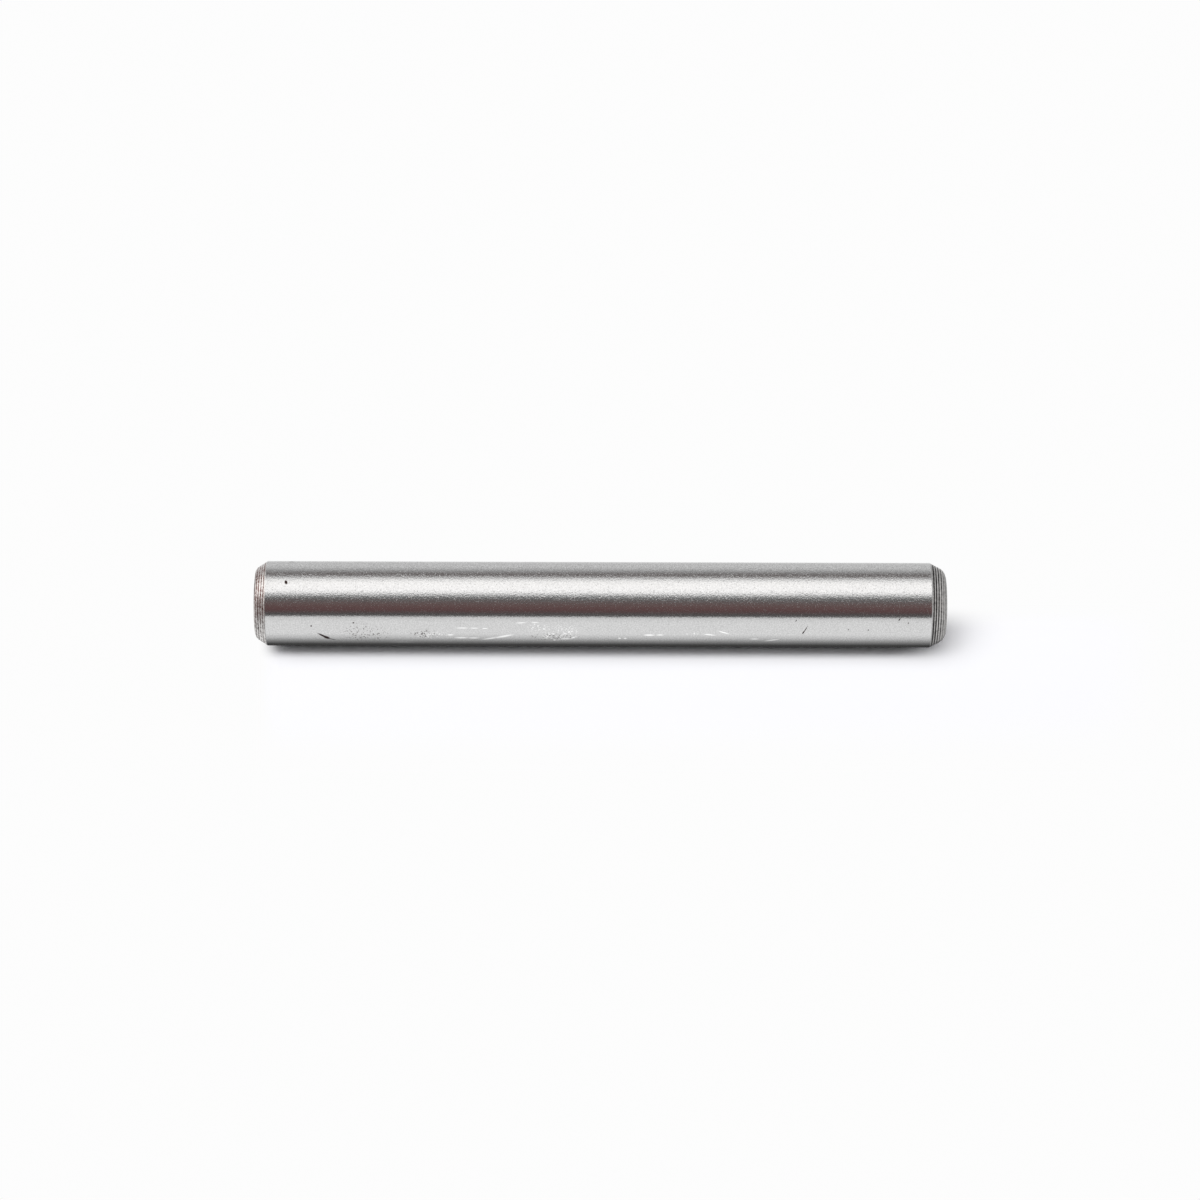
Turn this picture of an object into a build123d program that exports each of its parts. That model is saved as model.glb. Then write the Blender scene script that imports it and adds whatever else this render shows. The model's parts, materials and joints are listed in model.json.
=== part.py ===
from build123d import *
import math
import os

# A hammer pin: the straight steel pin that a hammer of an impact mechanism swings
# on, or is driven through. It is turned from one piece of bar, hardened, and then
# ground to size along its whole cylinder, so the cylinder meets the turned forms of
# both ends at crisp edges.
#
# Millimetres and degrees. The pin stands on its base end: the origin is the centre
# of the base face, and +Z runs up the pin's axis to the middle of its nose.

# the ground cylinder
pin_diameter = 6.0
pin_length = 49.0            # over both end faces

# the base end: a plain lead chamfer that turns into a flat face with a small blend
base_chamfer_length = 0.85   # along the axis, from the ground cylinder to the end face
base_chamfer_angle = 33.0    # between the chamfer and the pin's axis
base_blend_radius = 0.5

# the nose end goes into its hole first: a slimmer lead that rounds over to a smaller flat
nose_lead_length = 1.14      # along the axis, from the ground cylinder to the end face
nose_lead_angle = 27.0       # between the lead and the pin's axis
nose_radius = 0.8

pin_radius = pin_diameter / 2


def end_face_radius(lead_length, lead_angle):
    """The radius at which a lead that is turned into the pin meets the plane of its end face."""
    return pin_radius - lead_length * math.tan(math.radians(lead_angle))


base_corner = (end_face_radius(base_chamfer_length, base_chamfer_angle), 0)
nose_corner = (end_face_radius(nose_lead_length, nose_lead_angle), pin_length)


def hammer_pin():
    """Half of the pin's long section, turned once about its axis as the lathe turns the bar."""
    with BuildPart() as pin:
        with BuildSketch(Plane.XZ) as half_section:
            with BuildLine():
                Polyline(
                    (0, 0),
                    base_corner,
                    (pin_radius, base_chamfer_length),
                    (pin_radius, pin_length - nose_lead_length),
                    nose_corner,
                    (0, pin_length),
                    close=True,
                )
            make_face()
            fillet(half_section.vertices().sort_by_distance(base_corner)[0], radius=base_blend_radius)
            fillet(half_section.vertices().sort_by_distance(nose_corner)[0], radius=nose_radius)
        revolve(axis=Axis.Z)
    return pin.part


os.makedirs("parts", exist_ok=True)
export_step(hammer_pin(), "parts/hammer_pin.step")
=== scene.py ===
import json
import math

import bpy
from mathutils import Matrix, Vector


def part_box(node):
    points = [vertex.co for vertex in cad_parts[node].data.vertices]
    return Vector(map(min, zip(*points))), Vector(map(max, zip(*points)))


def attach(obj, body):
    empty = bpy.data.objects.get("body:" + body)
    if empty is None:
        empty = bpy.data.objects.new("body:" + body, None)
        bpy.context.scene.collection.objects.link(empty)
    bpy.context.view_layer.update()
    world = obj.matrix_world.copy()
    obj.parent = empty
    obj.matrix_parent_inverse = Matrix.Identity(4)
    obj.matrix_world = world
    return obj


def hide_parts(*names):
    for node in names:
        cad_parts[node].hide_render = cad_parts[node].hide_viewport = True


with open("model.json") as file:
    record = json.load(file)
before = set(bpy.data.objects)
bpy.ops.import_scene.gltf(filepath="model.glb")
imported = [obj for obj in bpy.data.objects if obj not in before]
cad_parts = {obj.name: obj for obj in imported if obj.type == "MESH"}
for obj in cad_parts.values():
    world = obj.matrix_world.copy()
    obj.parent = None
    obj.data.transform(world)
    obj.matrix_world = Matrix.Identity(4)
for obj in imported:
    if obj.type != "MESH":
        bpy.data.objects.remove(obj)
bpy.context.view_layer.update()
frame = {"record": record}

# ---------------------------------------------------------------------------
# The pin, one piece of hardened steel. A single-point tool turned both end forms
# and left its fine spiral there, and the cylinder was then ground to size. It is
# lathed here too, from half of its section, with the spiral cut into both ends.
# ---------------------------------------------------------------------------


def add(tree, kind, inputs=None, **settings):
    """Adds a node to a tree: first its settings, then a value or a link for each input.
    An input goes by its name or its number. A Map Range has its two ends as 1 and 2 and what they give
    as 3 and 4, and a Mix has its two sides as 2 and 3 for numbers and as 6 and 7 for colours."""
    made = tree.nodes.new(kind)
    for name, value in settings.items():
        setattr(made, name, value)
    for key, value in (inputs or {}).items():
        if isinstance(value, bpy.types.Node):
            value = value.outputs[0]
        if isinstance(value, bpy.types.NodeSocket):
            tree.links.new(value, made.inputs[key])
        else:
            made.inputs[key].default_value = value
    return made


MM = 0.001

base_corner, nose_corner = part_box("hammer_pin")
shank = next(mount for mount in frame["record"]["mounts"] if mount["name"] == "shank")
pin_length = nose_corner.z - base_corner.z
pin_radius = shank["dims"]["r_mm"] * MM
shank_half = shank["dims"]["length_mm"] / 2 * MM
shank_middle = shank["pos_m"][2]

pin_sizes = {
    "Length": pin_length,
    "Radius": pin_radius,
    "Base chamfer": shank_middle - shank_half,
    "Base angle": math.radians(33),
    "Base blend": 0.5 * MM,
    "Nose lead": pin_length - shank_middle - shank_half,
    "Nose angle": math.radians(27),
    "Nose radius": 0.8 * MM,
    "Edge break": 0.08 * MM,
    "Edge margin": 0.12 * MM,
    "Ring spacing": 0.030 * MM,
    "Shank spacing": 1.0 * MM,
    "Feed": 0.205 * MM,
    "Groove depth": 0.014 * MM,
}
pin_counts = {"Around": 256, "Seed": 5}

lathe = bpy.data.node_groups.new("pin lathe", "GeometryNodeTree")
lathe.interface.new_socket("Geometry", in_out="OUTPUT", socket_type="NodeSocketGeometry")
for name in pin_sizes:
    lathe.interface.new_socket(name, in_out="INPUT", socket_type="NodeSocketFloat")
for name in pin_counts:
    lathe.interface.new_socket(name, in_out="INPUT", socket_type="NodeSocketInt")
for name in ("Ground steel", "Turned steel"):
    lathe.interface.new_socket(name, in_out="INPUT", socket_type="NodeSocketMaterial")
size = add(lathe, "NodeGroupInput").outputs

# the radius where each lead meets the plane of its end face
corner_radii = []
for lead, angle in (("Base chamfer", "Base angle"), ("Nose lead", "Nose angle")):
    slope = add(lathe, "ShaderNodeMath", {0: size[angle]}, operation="TANGENT")
    drop = add(lathe, "ShaderNodeMath", {0: size[lead], 1: slope}, operation="MULTIPLY")
    corner_radii.append(add(lathe, "ShaderNodeMath", {0: size["Radius"], 1: drop}, operation="SUBTRACT"))
base_radius, nose_radius = corner_radii
shank_end = add(lathe, "ShaderNodeMath", {0: size["Length"], 1: size["Nose lead"]}, operation="SUBTRACT")
shank_low = add(lathe, "ShaderNodeMath", {0: size["Base chamfer"], 1: size["Edge margin"]}, operation="ADD")
shank_high = add(lathe, "ShaderNodeMath", {0: shank_end, 1: size["Edge margin"]}, operation="SUBTRACT")

# half of the section, from the middle of the base to the middle of the nose: radius, height,
# fillet radius and the number of points in the fillet
section_points = (
    (0.0, 0.0, 0.0, 1),
    (base_radius, 0.0, size["Base blend"], 12),
    (size["Radius"], size["Base chamfer"], size["Edge break"], 3),
    (size["Radius"], shank_low, 0.0, 1),
    (size["Radius"], shank_high, 0.0, 1),
    (size["Radius"], shank_end, size["Edge break"], 3),
    (nose_radius, size["Length"], size["Nose radius"], 22),
    (0.0, size["Length"], 0.0, 1),
)
index = add(lathe, "GeometryNodeInputIndex")
point_at = add(lathe, "GeometryNodeIndexSwitch", {0: index}, data_type="VECTOR")
fillet_at = add(lathe, "GeometryNodeIndexSwitch", {0: index}, data_type="FLOAT")
count_at = add(lathe, "GeometryNodeIndexSwitch", {0: index}, data_type="INT")
items_at_first = 2
for switch in (point_at, fillet_at, count_at):
    for _ in range(len(section_points) - items_at_first):
        switch.index_switch_items.new()
for number, (radius, height, fillet, fillet_points) in enumerate(section_points):
    place = add(lathe, "ShaderNodeCombineXYZ", {0: radius, 2: height})
    lathe.links.new(place.outputs[0], point_at.inputs[number + 1])
    if isinstance(fillet, float):
        fillet_at.inputs[number + 1].default_value = fillet
    else:
        lathe.links.new(fillet, fillet_at.inputs[number + 1])
    count_at.inputs[number + 1].default_value = fillet_points
points = add(lathe, "GeometryNodePoints", {"Count": len(section_points), "Position": point_at})
outline = add(lathe, "GeometryNodePointsToCurves", {"Points": points})
section = add(lathe, "GeometryNodeFilletCurve",
              {"Curve": outline, "Count": count_at, "Radius": fillet_at, "Limit Radius": True}, mode="POLY")

# rings: close together on both end forms, far apart on the straight shank
position = add(lathe, "GeometryNodeInputPosition")
next_index = add(lathe, "FunctionNodeIntegerMath", {0: index, 1: 1}, operation="ADD")
next_point = add(lathe, "GeometryNodeFieldAtIndex", {0: position, 1: next_index},
                 data_type="FLOAT_VECTOR", domain="POINT")
to_next = add(lathe, "ShaderNodeVectorMath", {0: position, 1: next_point}, operation="DISTANCE")
run = to_next.outputs["Value"]
half_length = add(lathe, "ShaderNodeMath", {0: size["Length"], 1: 0.5}, operation="MULTIPLY")
is_shank = add(lathe, "ShaderNodeMath", {0: run, 1: half_length}, operation="GREATER_THAN")
spacing = add(lathe, "ShaderNodeMix",
              {0: is_shank, 2: size["Ring spacing"], 3: size["Shank spacing"]}, data_type="FLOAT")
cuts = add(lathe, "ShaderNodeMath", {0: run, 1: spacing}, operation="DIVIDE")
rings = add(lathe, "GeometryNodeSubdivideCurve", {"Curve": section, "Cuts": cuts})

# the lathe: a grid whose rows are the rings and whose columns go once around
ring_sizes = add(lathe, "GeometryNodeAttributeDomainSize", {0: rings}, component="CURVE")
ring_count = ring_sizes.outputs["Point Count"]
columns = add(lathe, "FunctionNodeIntegerMath", {0: size["Around"], 1: 1}, operation="ADD")
grid = add(lathe, "GeometryNodeMeshGrid",
           {"Size X": 1.0, "Size Y": 1.0, "Vertices X": ring_count, "Vertices Y": columns})
on_grid = add(lathe, "ShaderNodeSeparateXYZ", {0: position})
last_ring = add(lathe, "ShaderNodeMath", {0: ring_count, 1: 1.0}, operation="SUBTRACT")
share_along = add(lathe, "ShaderNodeMath", {0: on_grid.outputs["X"], 1: 0.5}, operation="ADD")
ring_number = add(lathe, "ShaderNodeMath", {0: share_along, 1: last_ring}, operation="MULTIPLY")
ring_index = add(lathe, "ShaderNodeMath", {0: ring_number}, operation="ROUND")
share_around = add(lathe, "ShaderNodeMath", {0: on_grid.outputs["Y"], 1: 0.5}, operation="ADD")
turn = add(lathe, "ShaderNodeMath", {0: share_around, 1: math.tau}, operation="MULTIPLY")
on_ring = []
for field in (position.outputs[0], add(lathe, "GeometryNodeInputTangent").outputs[0]):
    sampled = add(lathe, "GeometryNodeSampleIndex", data_type="FLOAT_VECTOR", domain="POINT")
    lathe.links.new(rings.outputs[0], sampled.inputs["Geometry"])
    lathe.links.new(field, sampled.inputs["Value"])
    lathe.links.new(ring_index.outputs[0], sampled.inputs["Index"])
    on_ring.append(add(lathe, "ShaderNodeSeparateXYZ", {0: sampled}).outputs)
ring_place, ring_tangent = on_ring
along = add(lathe, "GeometryNodeSampleIndex", data_type="FLOAT", domain="POINT")
lathe.links.new(rings.outputs[0], along.inputs["Geometry"])
lathe.links.new(add(lathe, "GeometryNodeSplineParameter").outputs["Length"], along.inputs["Value"])
lathe.links.new(ring_index.outputs[0], along.inputs["Index"])

# the tool's spiral: one groove for each turn, uneven in depth, and none on the ground shank
turns_in = add(lathe, "ShaderNodeMath", {0: along, 1: size["Feed"]}, operation="DIVIDE")
spiral = add(lathe, "ShaderNodeMath", {0: turns_in, 1: share_around}, operation="ADD")
phase = add(lathe, "ShaderNodeMath", {0: spiral, 1: math.tau}, operation="MULTIPLY")
wave = add(lathe, "ShaderNodeMath", {0: phase}, operation="COSINE")
groove = add(lathe, "ShaderNodeMapRange", {0: wave, 1: -1.0, 2: 1.0, 3: -1.0, 4: 0.0})
side = add(lathe, "ShaderNodeMath", {0: turn}, operation="SINE")
front = add(lathe, "ShaderNodeMath", {0: turn}, operation="COSINE")
around_place = add(lathe, "ShaderNodeCombineXYZ", {0: front, 1: side, 2: turns_in})
cut_noise = add(lathe, "ShaderNodeTexNoise",
                {"Vector": around_place, "W": size["Seed"], "Scale": 1.3, "Detail": 3.0},
                noise_dimensions="4D")
depth_share = add(lathe, "ShaderNodeMapRange", {0: cut_noise, 1: 0.3, 2: 0.7, 3: 0.6, 4: 1.5})
inside = add(lathe, "ShaderNodeMath", {0: size["Radius"], 1: ring_place["X"]}, operation="SUBTRACT")
turned_share = add(lathe, "ShaderNodeMapRange", {0: inside, 1: 0.01 * MM, 2: 0.05 * MM, 3: 0.0, 4: 1.0})
depth = add(lathe, "ShaderNodeMath", {0: size["Groove depth"], 1: depth_share}, operation="MULTIPLY")
cut = add(lathe, "ShaderNodeMath", {0: depth, 1: groove}, operation="MULTIPLY")
cut_here = add(lathe, "ShaderNodeMath", {0: cut, 1: turned_share}, operation="MULTIPLY")
out_r = add(lathe, "ShaderNodeMath", {0: cut_here, 1: ring_tangent["Z"]}, operation="MULTIPLY")
out_z = add(lathe, "ShaderNodeMath", {0: cut_here, 1: ring_tangent["X"]}, operation="MULTIPLY")
radius_here = add(lathe, "ShaderNodeMath", {0: ring_place["X"], 1: out_r}, operation="ADD")
height_here = add(lathe, "ShaderNodeMath", {0: ring_place["Z"], 1: out_z}, operation="SUBTRACT")
x_here = add(lathe, "ShaderNodeMath", {0: radius_here, 1: front}, operation="MULTIPLY")
y_here = add(lathe, "ShaderNodeMath", {0: radius_here, 1: side}, operation="MULTIPLY")
placed = add(lathe, "ShaderNodeCombineXYZ", {0: x_here, 1: y_here, 2: height_here})
sunk_by = add(lathe, "ShaderNodeMath", {0: groove, 1: -1.0}, operation="MULTIPLY")
groove_share = add(lathe, "ShaderNodeMath", {0: sunk_by, 1: depth_share}, operation="MULTIPLY")
# how deep the groove is stays on the mesh for the film of scale and the painted shade that lie in it
marked = add(lathe, "GeometryNodeStoreNamedAttribute",
             {"Geometry": grid, "Name": "groove", "Value": groove_share}, data_type="FLOAT", domain="POINT")
lathed = add(lathe, "GeometryNodeSetPosition", {"Geometry": marked, "Position": placed})

# the seam and both poles are merged, and the ends get the turned finish
closed = add(lathe, "GeometryNodeMergeByDistance", {"Geometry": lathed, "Distance": 0.0002 * MM})
smooth = add(lathe, "GeometryNodeSetShadeSmooth", {"Geometry": closed, "Shade Smooth": True}, domain="FACE")
real = add(lathe, "GeometryNodeRealizeInstances", {0: smooth})
flat_place = add(lathe, "ShaderNodeVectorMath", {0: position, 1: (1.0, 1.0, 0.0)}, operation="MULTIPLY")
face_radius = add(lathe, "ShaderNodeVectorMath", {0: flat_place}, operation="LENGTH").outputs["Value"]
ground_from = add(lathe, "ShaderNodeMath", {0: size["Radius"], 1: 0.02 * MM}, operation="SUBTRACT")
is_turned = add(lathe, "ShaderNodeMath", {0: face_radius, 1: ground_from}, operation="LESS_THAN")
all_ground = add(lathe, "GeometryNodeSetMaterial", {"Geometry": real, "Material": size["Ground steel"]})
finished = add(lathe, "GeometryNodeSetMaterial",
               {"Geometry": all_ground, "Selection": is_turned, "Material": size["Turned steel"]})
add(lathe, "NodeGroupOutput", {0: finished})


def linear(hex_colour):
    """The linear colour, with alpha 1, of an sRGB hex value such as "d0cfcc"."""
    parts = [int(hex_colour[i:i + 2], 16) / 255 for i in (0, 2, 4)]
    return [p / 12.92 if p <= 0.04045 else ((p + 0.055) / 1.055) ** 2.4 for p in parts] + [1.0]


# Hardened bearing steel off a centreless grinder: a near mirror along the cylinder, which the grit of the
# wheel breaks up into a fine grain, with pits, scratches and rubbed spots from handling. The grit's own
# marks are about 0.02 mm and too fine to show, so the grain is drawn at 0.10 mm. Handling has polished
# the +X side, so the grain is weaker there and its speckle is strongest along the far -X side.
ground = bpy.data.materials.new("centreless_ground_steel")
ground.use_nodes = True
tree = ground.node_tree
tree.nodes.clear()
where = add(tree, "ShaderNodeTexCoord").outputs["Object"]
place = add(tree, "ShaderNodeSeparateXYZ", {0: where}).outputs
backward = add(tree, "ShaderNodeMath", {0: place["Y"], 1: -1.0}, operation="MULTIPLY")
angle = add(tree, "ShaderNodeMath", {0: place["X"], 1: backward}, operation="ARCTAN2")
arc = add(tree, "ShaderNodeMath", {0: angle, 1: pin_radius}, operation="MULTIPLY")
unrolled = add(tree, "ShaderNodeCombineXYZ", {0: place["Z"], 1: arc})

grain_size = 0.10 * MM
grain_depth = 0.0125 * MM
speck_size = 0.9 * grain_size
grain = add(tree, "ShaderNodeTexNoise",
            {"Vector": where, "Scale": 1 / grain_size, "Detail": 2.0, "Roughness": 0.6})
weaker = add(tree, "ShaderNodeMapRange", {0: place["X"], 1: -0.10 * MM, 2: 0.57 * MM, 3: 1.0, 4: 0.3})
grit = add(tree, "ShaderNodeMath", {0: grain, 1: weaker}, operation="MULTIPLY")
grain_bump = add(tree, "ShaderNodeBump", {"Height": grit, "Strength": 1.0, "Distance": grain_depth})
speck = add(tree, "ShaderNodeTexNoise", {"Vector": where, "Scale": 1 / speck_size, "Detail": 1.0})
contrast = add(tree, "ShaderNodeMapRange", {0: place["X"], 1: -2.65 * MM, 2: -2.0 * MM, 3: 1.5, 4: 0.5})
from_mean = add(tree, "ShaderNodeMath", {0: speck, 1: 0.5}, operation="SUBTRACT")
shade = add(tree, "ShaderNodeMath", {0: from_mean, 1: contrast, 2: 0.985}, operation="MULTIPLY_ADD")
dull_spots = add(tree, "ShaderNodeTexNoise", {"Vector": where, "Scale": 1 / grain_size, "Detail": 1.0})
dull = add(tree, "ShaderNodeMapRange", {0: dull_spots, 1: 0.56, 2: 0.70, 3: 0.0, 4: 0.29})
dull_here = add(tree, "ShaderNodeMath", {0: dull, 1: weaker}, operation="MULTIPLY")
rough = add(tree, "ShaderNodeMath", {0: dull_here, 1: 0.10}, operation="ADD")

# handling marks: middle along the pin in mm and around it in degrees, half length and half width in mm,
# and turn from the pin's axis in degrees
pits = (
    (2.32, -29.7, 0.16, 0.100, 75), (2.55, -78, 0.20, 0.10, 0), (4.10, 32.1, 0.06, 0.055, 0),
    (4.97, 50.6, 0.50, 0.085, 36), (5.15, 53.3, 0.26, 0.130, 36), (5.54, 57.3, 0.24, 0.035, 22),
    (7.08, 26.9, 0.06, 0.05, 0), (7.36, -78.8, 0.13, 0.060, 10), (38.94, 36.5, 0.35, 0.028, -64),
    (38.82, 40.5, 0.15, 0.048, -64), (45.57, 19.5, 0.12, 0.032, -60), (46.20, 25.0, 0.06, 0.03, -50),
    (38.29, 21.8, 0.08, 0.025, -60), (42.00, 35.7, 0.04, 0.035, 0), (43.40, 36.0, 0.045, 0.04, 0),
)
rubs = (
    (14.68, 53.0, 0.42, 0.085, 0), (15.55, 53.4, 0.36, 0.065, 0), (16.69, 54.5, 0.55, 0.085, -14),
    (17.60, 50.0, 0.65, 0.090, -15), (14.75, 34.6, 0.42, 0.034, 0), (15.60, 34.8, 0.26, 0.028, 0),
    (16.35, 35.2, 0.18, 0.028, 0), (18.90, 26.3, 0.32, 0.030, -3), (19.90, 26.0, 0.24, 0.026, 0),
    (13.90, 47.0, 0.20, 0.055, 0), (22.00, 55.0, 0.42, 0.075, -3), (22.60, 51.5, 0.24, 0.065, -35),
    (21.25, 57.8, 0.10, 0.110, 0), (20.70, 49.5, 0.14, 0.090, -40), (25.85, 53.6, 0.10, 0.090, 0),
    (26.25, 53.6, 0.10, 0.090, 0), (27.95, 46.3, 0.32, 0.075, 0), (28.70, 46.0, 0.24, 0.050, 0),
    (32.20, 45.3, 0.38, 0.050, 8), (33.20, 41.0, 0.38, 0.045, 20), (35.40, 54.0, 0.28, 0.060, 0),
    (36.60, 56.8, 0.46, 0.080, -14), (10.50, 64.9, 0.75, 0.055, 0),
)
scuffs = (
    (21.70, 45.0, 1.3, 0.80, -15), (20.00, 33.0, 0.90, 0.40, 10), (30.90, 43.0, 0.5, 0.18, 0),
    (12.60, 49.0, 1.2, 0.36, 0),
)
stains = ((8.00, 46.0, 1.5, 0.85, 8), (12.00, 45.0, 0.9, 0.42, 0), (21.20, 51.0, 1.6, 0.35, 0))


def marks(tree, unrolled, rows, inner, outer):
    """A mask of oval marks, one for each row: 1 inside an inner share of each oval's size, 0 past an
    outer share and soft between them."""
    shape = None
    for z_mm, degrees, half_length, half_width, turned_by in rows:
        centre = (z_mm * MM, math.radians(degrees) * pin_radius, 0)
        moved = add(tree, "ShaderNodeMapping",
                    {"Vector": unrolled, "Location": centre, "Rotation": (0, 0, math.radians(turned_by)),
                     "Scale": (half_length * MM, half_width * MM, 1)}, vector_type="TEXTURE")
        far = add(tree, "ShaderNodeVectorMath", {0: moved}, operation="LENGTH").outputs["Value"]
        near = add(tree, "ShaderNodeMapRange", {0: far, 1: outer, 2: inner, 3: 0.0, 4: 1.0})
        if shape is None:
            shape = near
        else:
            shape = add(tree, "ShaderNodeMath", {0: shape, 1: near}, operation="MAXIMUM")
    return shape


pitted = marks(tree, unrolled, pits, inner=0.7, outer=1.3)
rubbed = marks(tree, unrolled, rubs, inner=0.5, outer=1.4)
scuffed = marks(tree, unrolled, scuffs, inner=0.4, outer=1.3)
stained = marks(tree, unrolled, stains, inner=0.5, outer=1.3)
# scuffs and stains are crowds of small dots, light in the one and dark in the other
dot_size = 0.13 * MM
dots = add(tree, "ShaderNodeTexNoise", {"Vector": where, "Scale": 1 / dot_size, "Detail": 1.0})
light_dot = add(tree, "ShaderNodeMapRange", {0: dots, 1: 0.56, 2: 0.66, 3: 0.0, 4: 0.8})
dark_dot = add(tree, "ShaderNodeMapRange", {0: dots, 1: 0.41, 2: 0.34, 3: 0.0, 4: 0.75})
light_here = add(tree, "ShaderNodeMath", {0: light_dot, 1: scuffed}, operation="MULTIPLY")
dark_here = add(tree, "ShaderNodeMath", {0: dark_dot, 1: stained}, operation="MULTIPLY")
pale = add(tree, "ShaderNodeMath", {0: rubbed, 1: light_here}, operation="MAXIMUM")
dirty = add(tree, "ShaderNodeMath", {0: pitted, 1: dark_here}, operation="MAXIMUM")
sunk = add(tree, "ShaderNodeMath", {0: pitted, 1: -1.0}, operation="MULTIPLY")
pit_depth = 0.004 * MM
mark_bump = add(tree, "ShaderNodeBump",
                {"Height": sunk, "Strength": 1.0, "Distance": pit_depth, "Normal": grain_bump})
steel = linear("cbcbcb")
mottled = add(tree, "ShaderNodeVectorMath", {0: steel[:3], "Scale": shade}, operation="SCALE")
burnished = add(tree, "ShaderNodeMix", {"Factor": pale, 6: mottled, 7: linear("ffffff")}, data_type="RGBA")
colour = add(tree, "ShaderNodeMix", {"Factor": dirty, 6: burnished.outputs[2], 7: linear("2a1a16")},
             data_type="RGBA")
shader = add(tree, "ShaderNodeBsdfPrincipled",
             {"Base Color": colour.outputs[2], "Metallic": 1.0, "Roughness": rough, "Normal": mark_bump})
add(tree, "ShaderNodeOutputMaterial", {"Surface": shader})

# The same steel as turned and hardened, under a thin brown film of scale and old oil that lies in the
# tool's spiral, and each groove is also darkened with painted shade, for the dark that its sides mirror. It
# looks like fine dark rings on dull light metal, darker round the rim of the base, with painted shade along
# the nose's edge, and the rings are fainter on both flat faces and on the round of the nose.
turned = bpy.data.materials.new("turned_hardened_steel")
turned.use_nodes = True
tree = turned.node_tree
tree.nodes.clear()
where = add(tree, "ShaderNodeTexCoord").outputs["Object"]
place = add(tree, "ShaderNodeSeparateXYZ", {0: where}).outputs
is_nose = add(tree, "ShaderNodeMath", {0: place["Z"], 1: pin_length / 2}, operation="GREATER_THAN")
in_groove = add(tree, "ShaderNodeAttribute", attribute_name="groove").outputs["Fac"]
# the film and the painted shade in the grooves are stronger on the nose, and the film's patches on the base
groove_film_and_shade = add(tree, "ShaderNodeMapRange", {0: in_groove, 1: 0.30, 2: 0.80, 3: 0.0, 4: 1.0})
groove_film_and_shade_share = add(tree, "ShaderNodeMapRange", {0: is_nose, 1: 0.0, 2: 1.0, 3: 0.62, 4: 1.0})
flat_place = add(tree, "ShaderNodeVectorMath", {0: where, 1: (1.0, 1.0, 0.0)}, operation="MULTIPLY")
from_axis = add(tree, "ShaderNodeVectorMath", {0: flat_place}, operation="LENGTH").outputs["Value"]
off_face = add(tree, "ShaderNodeMapRange", {0: from_axis, 1: 1.5 * MM, 2: 2.2 * MM, 3: 0.35, 4: 1.0})
groove_film_and_shade_here = add(tree, "ShaderNodeMath", {0: groove_film_and_shade, 1: off_face}, operation="MULTIPLY")
groove_film_and_shade_amount = add(tree, "ShaderNodeMath", {0: groove_film_and_shade_here, 1: groove_film_and_shade_share}, operation="MULTIPLY")
nose_edge = pin_length - pin_sizes["Nose lead"]
# the film and painted shade in the grooves are fainter on the round of the nose
fainter_on_round = add(tree, "ShaderNodeMapRange",
            {0: place["Z"], 1: nose_edge + 0.50 * MM, 2: nose_edge + 0.90 * MM, 3: 1.0, 4: 0.55})
groove_film_and_shade_amount = add(tree, "ShaderNodeMath", {0: groove_film_and_shade_amount, 1: fainter_on_round}, operation="MULTIPLY")
patch_size = 0.20 * MM
patch = add(tree, "ShaderNodeTexNoise",
            {"Vector": where, "Scale": 1 / patch_size, "Detail": 3.0, "Roughness": 0.7})
patch_share = add(tree, "ShaderNodeMapRange", {0: is_nose, 1: 0.0, 2: 1.0, 3: 0.58, 4: 0.40})
patchy = add(tree, "ShaderNodeMapRange", {0: patch, 1: 0.35, 2: 0.65, 3: -0.4, 4: 0.8})
patch_film = add(tree, "ShaderNodeMath", {0: patchy, 1: patch_share}, operation="MULTIPLY")
rim_film = add(tree, "ShaderNodeMapRange", {0: place["Z"], 1: 0.40 * MM, 2: 0.18 * MM, 3: 0.0, 4: 0.13})
# painted shade: a darker band along the nose's edge, just past the shank, for the dark that the lead
# mirrors there
painted_nose_edge_shade = add(tree, "ShaderNodeMapRange",
                {0: place["Z"], 1: nose_edge + 0.36 * MM, 2: nose_edge + 0.26 * MM, 3: 0.0, 4: 0.20})
painted_nose_edge_shade_here = add(tree, "ShaderNodeMath", {0: painted_nose_edge_shade, 1: is_nose}, operation="MULTIPLY")
# film here holds the brown film together with the painted shade in the grooves and along the nose's edge
film_and_shade = add(tree, "ShaderNodeMath", {0: groove_film_and_shade_amount, 1: patch_film}, operation="ADD")
film_and_shade = add(tree, "ShaderNodeMath", {0: film_and_shade, 1: rim_film}, operation="ADD")
film_and_shade = add(tree, "ShaderNodeMath", {0: film_and_shade, 1: painted_nose_edge_shade_here}, operation="ADD", use_clamp=True)
# the film and the painted shade are brown on the base and grey on the nose, and greyer on the base's
# polished +X side too
greyer = add(tree, "ShaderNodeMapRange", {0: place["X"], 1: 0.3 * MM, 2: 1.6 * MM, 3: 0.0, 4: 0.8})
grey_share = add(tree, "ShaderNodeMath", {0: greyer, 1: is_nose}, operation="MAXIMUM")
film_and_shade_tint = add(tree, "ShaderNodeMix", {"Factor": grey_share, 6: linear("622d26"), 7: linear("323031")},
                data_type="RGBA")
film_and_shade_colour = add(tree, "ShaderNodeMix", {"Factor": film_and_shade, 6: linear("e5e3e1"), 7: film_and_shade_tint.outputs[2]},
                  data_type="RGBA")
film_and_shade_rough = add(tree, "ShaderNodeMapRange", {0: film_and_shade, 1: 0.0, 2: 1.0, 3: 0.18, 4: 0.40})
tear_size = 0.12 * MM
tear_depth = 0.015 * MM
tears = add(tree, "ShaderNodeTexNoise",
            {"Vector": where, "Scale": 1 / tear_size, "Detail": 2.0, "Roughness": 0.7})
tear_bump = add(tree, "ShaderNodeBump", {"Height": tears, "Strength": 1.0, "Distance": tear_depth})
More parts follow.
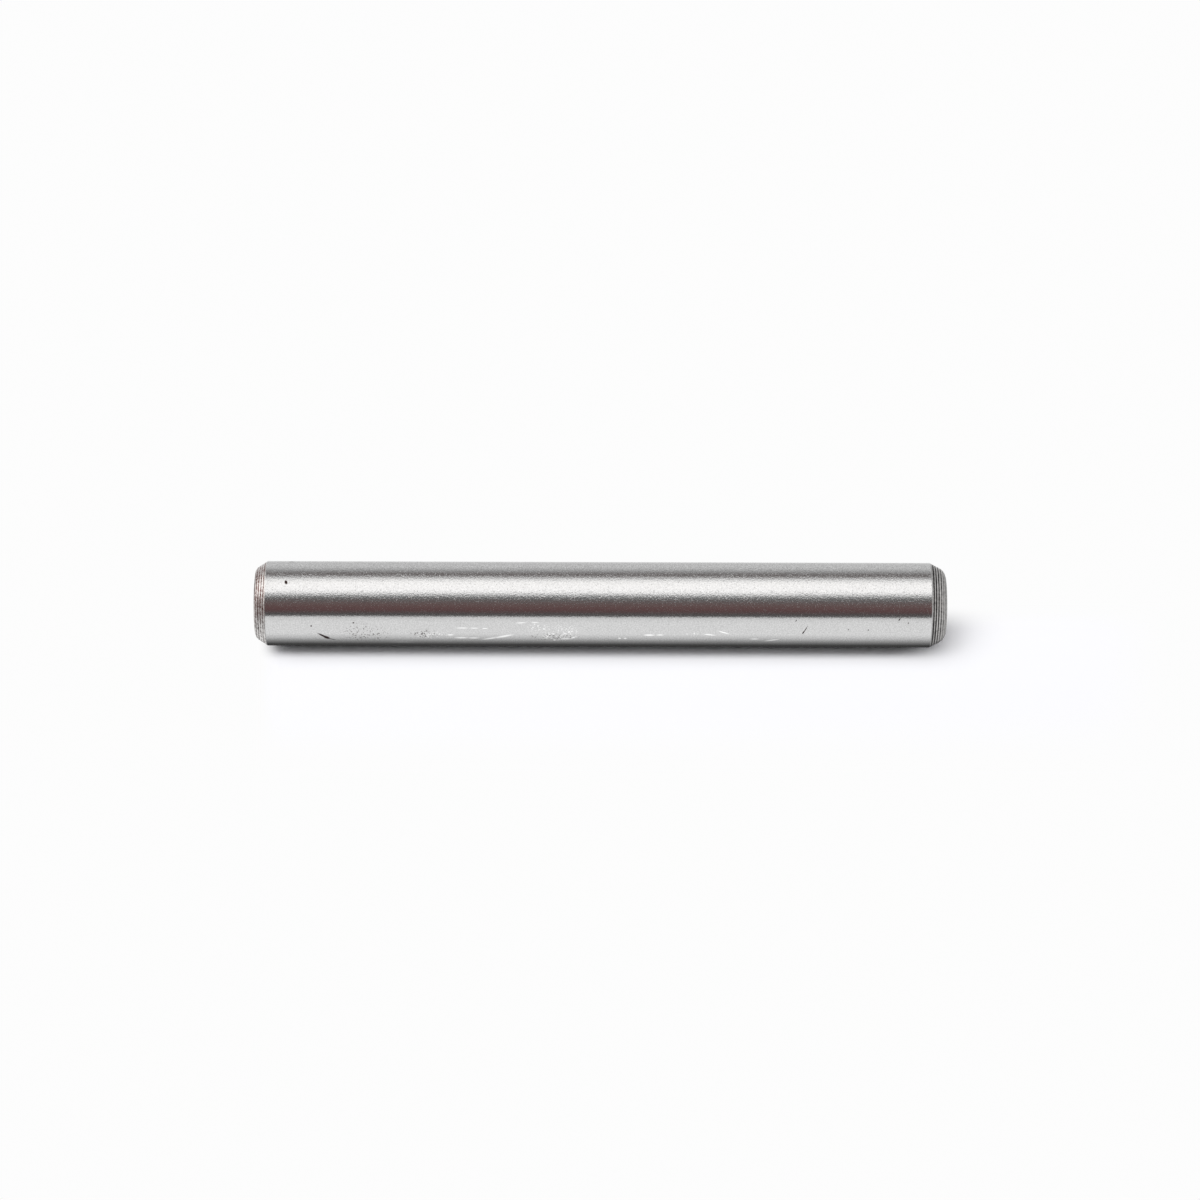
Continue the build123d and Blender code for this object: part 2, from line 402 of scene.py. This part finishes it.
shader = add(tree, "ShaderNodeBsdfPrincipled",
             {"Base Color": film_and_shade_colour.outputs[2], "Metallic": 1.0, "Roughness": film_and_shade_rough,
              "Normal": tear_bump})
add(tree, "ShaderNodeOutputMaterial", {"Surface": shader})

blank = bpy.data.objects.new("bar", bpy.data.meshes.new("bar"))
bpy.context.scene.collection.objects.link(blank)
turning = blank.modifiers.new("turning", "NODES")
turning.node_group = lathe
sockets = {item.name: item.identifier for item in lathe.interface.items_tree if item.in_out == "INPUT"}
for name, value in {**pin_sizes, **pin_counts, "Ground steel": ground, "Turned steel": turned}.items():
    turning[sockets[name]] = value
lathed_bar = blank.evaluated_get(bpy.context.evaluated_depsgraph_get())
pin = bpy.data.objects.new("hammer_pin_body", bpy.data.meshes.new_from_object(lathed_bar))
pin.data.materials.pop(index=0)  # the grid's own empty slot
bpy.context.scene.collection.objects.link(pin)
bpy.data.objects.remove(blank)
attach(pin, "root")
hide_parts("hammer_pin")

# ---------------------------------------------------------------------------
# The floor under the base and the backdrop that the pin's side touches: white
# studio card, each seen from its front only.
# ---------------------------------------------------------------------------
plain_white = 0.98


def card(name, corners, clean):
    """A flat white card that keeps shadows near the pin and is plain white for the camera elsewhere.
    clean holds the stretches where it changes over: axis, where it is white, where it keeps shadows."""
    mesh = bpy.data.meshes.new(name)
    mesh.from_pydata(corners, [], [range(len(corners))])
    made = bpy.data.objects.new(name, mesh)
    bpy.context.scene.collection.objects.link(made)
    material = bpy.data.materials.new("white_card_" + name)
    material.use_nodes = True
    tree = material.node_tree
    tree.nodes.clear()
    where = add(tree, "ShaderNodeTexCoord").outputs["Object"]
    place = add(tree, "ShaderNodeSeparateXYZ", {0: where}).outputs
    distance = add(tree, "ShaderNodeVectorMath", {0: where}, operation="LENGTH").outputs["Value"]
    shadow_share = add(tree, "ShaderNodeMapRange", {0: distance, 1: 70 * MM, 2: 120 * MM, 3: 1.0, 4: 0.0})
    for axis, white_at, shadow_at in clean:
        step = add(tree, "ShaderNodeMapRange", {0: place[axis], 1: white_at, 2: shadow_at, 3: 0.0, 4: 1.0},
                   interpolation_type="SMOOTHSTEP")
        shadow_share = add(tree, "ShaderNodeMath", {0: shadow_share, 1: step}, operation="MULTIPLY")
    # straight behind the pin, short of its nose, the shadow reaches up to it, whatever clean says
    off_middle = add(tree, "ShaderNodeMath", {0: place["X"]}, operation="ABSOLUTE")
    in_line = add(tree, "ShaderNodeMapRange", {0: off_middle, 1: 1.7 * MM, 2: 2.5 * MM, 3: 1.0, 4: 0.0},
                  interpolation_type="SMOOTHSTEP")
    behind = add(tree, "ShaderNodeMapRange", {0: place["Y"], 1: 0.0, 2: 1.5 * MM, 3: 0.0, 4: 1.0})
    by_pin = add(tree, "ShaderNodeMapRange",
                 {0: distance, 1: pin_length - 2.2 * MM, 2: pin_length - 0.6 * MM, 3: 1.0, 4: 0.0})
    reaching = add(tree, "ShaderNodeMath", {0: in_line, 1: behind}, operation="MULTIPLY")
    reaching = add(tree, "ShaderNodeMath", {0: reaching, 1: by_pin}, operation="MULTIPLY")
    shadow_share = add(tree, "ShaderNodeMath", {0: shadow_share, 1: reaching}, operation="MAXIMUM")
    own_white = add(tree, "ShaderNodeMath", {0: 1.0, 1: shadow_share}, operation="SUBTRACT")
    camera_ray = add(tree, "ShaderNodeLightPath").outputs["Is Camera Ray"]
    white_share = add(tree, "ShaderNodeMath", {0: camera_ray, 1: own_white}, operation="MULTIPLY")
    lit = add(tree, "ShaderNodeBsdfDiffuse", {"Color": linear("f5f5f8")})
    white = add(tree, "ShaderNodeEmission", {"Color": (1, 1, 1, 1), "Strength": plain_white})
    front = add(tree, "ShaderNodeMixShader", {0: white_share, 1: lit, 2: white})
    is_back = add(tree, "ShaderNodeNewGeometry").outputs["Backfacing"]
    clear = add(tree, "ShaderNodeBsdfTransparent")
    surface = add(tree, "ShaderNodeMixShader", {0: is_back, 1: front, 2: clear})
    add(tree, "ShaderNodeOutputMaterial", {"Surface": surface})
    mesh.materials.append(material)
    made.visible_glossy = False
    made.visible_shadow = False
    made.visible_diffuse = False
    return made


reach = 1.0
floor = card("floor", [(-reach, -reach, 0), (reach, -reach, 0), (reach, reach, 0), (-reach, reach, 0)],
             (("Y", 2.9 * MM, 3.4 * MM),))
card_y = pin_radius
backdrop = card("backdrop",
                [(-reach, card_y, -reach), (reach, card_y, -reach),
                 (reach, card_y, reach), (-reach, card_y, reach)],
                (("X", 0.0, 2.0 * MM), ("X", 12.0 * MM, 6.0 * MM),
                 ("Z", -0.1 * MM, 1.6 * MM), ("Z", 66.0 * MM, 58.0 * MM)))

# ---------------------------------------------------------------------------
# Three lamps. Two soft boxes hang in front of the backdrop, one higher than the
# other, and leave the narrow shadow along the pin. The third lights the floor.
# ---------------------------------------------------------------------------
lamps = (
    # name, card that it lights, a point on that card, the lamp's offset from it and its width and height
    # in cm, watts
    ("long box", backdrop, (0, card_y, pin_length), (-10, -50, 13), 8, 84, 2.02),
    ("wide box", backdrop, (0, card_y, pin_length), (-11, -50, -18), 24, 53, 1.9),
    ("floor lamp", floor, (0, 0, 0), (0, -80, 80), 64, 64, 19.0),
)
# the two boxes face the backdrop squarely, and the floor's lamp points at the pin's base
CM = 10 * MM
for name, receiver, card_point, offset, width, height, watts in lamps:
    data = bpy.data.lights.new(name, "AREA")
    data.shape = "ELLIPSE"
    data.size = width * CM
    data.size_y = height * CM
    data.energy = watts
    lamp = bpy.data.objects.new(name, data)
    bpy.context.scene.collection.objects.link(lamp)
    lamp.location = Vector(card_point) + Vector(offset) * CM
    if receiver is floor:
        lamp.rotation_euler = Vector(offset).to_track_quat("Z", "Y").to_euler()
    else:
        lamp.rotation_euler = (math.radians(90), 0, 0)
    lamp.visible_glossy = False
    lamp.visible_camera = False
    lit = bpy.data.collections.new(name + " lights")
    lit.objects.link(receiver)
    lamp.light_linking.receiver_collection = lit

# ---------------------------------------------------------------------------
# The studio round the pin, which only the metal mirrors, and a plain white
# world for the camera. One ramp holds what stands level round the pin's side,
# one what stands below its base and one what stands beyond its nose.
# ---------------------------------------------------------------------------
world = bpy.data.worlds.new("studio")
bpy.context.scene.world = world
world.use_nodes = True
world.cycles.sampling_method = "NONE"
tree = world.node_tree
tree.nodes.clear()
direction = add(tree, "ShaderNodeTexCoord").outputs["Generated"]
towards = add(tree, "ShaderNodeSeparateXYZ", {0: direction}).outputs
minus_y = add(tree, "ShaderNodeMath", {0: towards["Y"], 1: -1.0}, operation="MULTIPLY")
around = add(tree, "ShaderNodeMath", {0: towards["X"], 1: minus_y}, operation="ARCTAN2")
share = add(tree, "ShaderNodeMapRange", {0: around, 1: -math.pi, 2: math.pi, 3: 0.0, 4: 1.0})
# the light that comes from each direction round the pin: degrees from the front, red, green and blue;
# the ramps hold it as a share of the brightest that they can give
brightest = 3.0
level_round = (
    (-180, .90, .90, .90), (-146, .72, .72, .72), (-128, .82, .82, .82),
    (-114, .74, .74, .74), (-103.4, .50, .50, .50), (-95, .32, .31, .31), (-86, .15, .12, .115),
    (-81.5, .30, .28, .28), (-78.5, .56, .56, .56), (-74, .96, .96, .96), (-70, 1.18, 1.17, 1.16),
    (-64, 1.5, 1.48, 1.46), (-58, 1.56, 1.54, 1.52), (-33, 1.56, 1.54, 1.53), (-29, 1.34, 1.33, 1.32),
    (-26, .88, .88, .88), (-22.5, .46, .46, .46), (-19, .24, .25, .25),
    (-13, .17, .165, .165), (0, .195, .135, .13), (18, .16, .085, .085), (27, .12, .11, .11),
    (34.0, .13, .125, .125), (35.6, .88, .88, .88), (41, .97, .97, .97), (52, 1.08, 1.08, 1.08),
    (90, 1.08, 1.08, 1.08), (108, .74, .74, .74), (118, .46, .46, .46),
    (128, .27, .27, .27), (144, .07, .07, .07), (179, .04, .04, .04),
)
below_base = (
    (-180, .50, .49, .48), (-120, .50, .49, .48), (-108, .80, .79, .78), (-97, 1.6, 1.57, 1.54),
    (-46, 1.6, 1.57, 1.54), (-36, .95, .93, .92), (-27, .55, .53, .52), (-18, .36, .33, .32),
    (0, .29, .245, .235), (42, .29, .25, .24), (60, .42, .41, .41), (82, .60, .60, .60),
    (110, .85, .85, .85), (150, .95, .95, .95), (179, .75, .74, .73),
)
beyond_nose = (
    (-180, .55, .55, .55), (-145, .46, .46, .46), (-104, .52, .52, .52), (-72, .68, .68, .68),
    (-42, .62, .62, .62), (-16, .53, .52, .515), (14, .54, .53, .525), (40, .62, .62, .62),
    (64, .66, .66, .66), (88, .64, .64, .64), (112, .50, .50, .50), (179, .52, .52, .52),
)
light = []
for stops in (level_round, below_base, beyond_nose):
    ramp = add(tree, "ShaderNodeValToRGB", {0: share})
    elements = ramp.color_ramp.elements
    elements.remove(elements[0])
    for number, (degrees, red, green, blue) in enumerate(stops):
        stop = elements[0] if number == 0 else elements.new(degrees / 360 + 0.5)
        stop.position = degrees / 360 + 0.5
        stop.color = (red / brightest, green / brightest, blue / brightest, 1)
    light.append(ramp.outputs[0])
# what stands below the base reaches higher behind the pin, where the chamfer's far side mirrors it
low_side = add(tree, "ShaderNodeMapRange",
               {0: around, 1: math.radians(110), 2: math.radians(165), 3: 0.0, 4: 0.36})
lowered = add(tree, "ShaderNodeMath", {0: towards["Z"], 1: low_side}, operation="SUBTRACT")
# the ramps change over by the height of the direction, from -1 straight down to 1 straight up
to_base = add(tree, "ShaderNodeMapRange", {0: lowered, 1: -0.46, 2: -0.60, 3: 0.0, 4: 1.0})
to_nose = add(tree, "ShaderNodeMapRange", {0: towards["Z"], 1: 0.16, 2: 0.40, 3: 0.0, 4: 1.0})
with_base = add(tree, "ShaderNodeMix", {"Factor": to_base, 6: light[0], 7: light[1]}, data_type="RGBA")
with_nose = add(tree, "ShaderNodeMix", {"Factor": to_nose, 6: with_base.outputs[2], 7: light[2]},
                data_type="RGBA")
path = add(tree, "ShaderNodeLightPath").outputs
studio = add(tree, "ShaderNodeBackground", {"Color": with_nose.outputs[2], "Strength": brightest})
plain = add(tree, "ShaderNodeBackground", {"Color": (1, 1, 1, 1), "Strength": plain_white})
# the metal mirrors the studio, and whatever else the world lights gets a faint even fill
fill = add(tree, "ShaderNodeBackground", {"Color": (1, 1, 1, 1), "Strength": 0.04})
first_bounce = add(tree, "ShaderNodeMath", {0: path["Diffuse Depth"], 1: 0.5}, operation="LESS_THAN")
by_metal = add(tree, "ShaderNodeMath", {0: path["Is Glossy Ray"], 1: first_bounce}, operation="MULTIPLY")
not_camera = add(tree, "ShaderNodeMixShader", {0: by_metal, 1: fill, 2: studio})
seen = add(tree, "ShaderNodeMixShader", {0: path["Is Camera Ray"], 1: not_camera, 2: plain})
add(tree, "ShaderNodeOutputWorld", {"Surface": seen})

# ---------------------------------------------------------------------------
# The camera looks straight at the pin's side from 313 mm, with the pin lying
# across the picture, and frames 85 mm. It aims just off the pin's middle and is
# turned a little about its line of sight.
# ---------------------------------------------------------------------------
camera_distance = 312.8 * MM
aim_x = -0.306 * MM
aim_z = pin_length / 2 - 0.039 * MM
tilt = math.radians(0.17)
camera_data = bpy.data.cameras.new("camera")
camera_data.sensor_width = 36
camera_data.lens = 132
camera_data.clip_start = 0.01
camera_data.clip_end = 10
camera = bpy.data.objects.new("camera", camera_data)
bpy.context.scene.collection.objects.link(camera)
right = (-math.sin(tilt), 0, math.cos(tilt))
up = (-math.cos(tilt), 0, -math.sin(tilt))
camera.matrix_world = Matrix((
    (right[0], up[0], 0, aim_x),
    (right[1], up[1], -1, -camera_distance),
    (right[2], up[2], 0, aim_z),
    (0, 0, 0, 1),
))
bpy.context.scene.camera = camera

bpy.context.scene.view_settings.view_transform = "Standard"
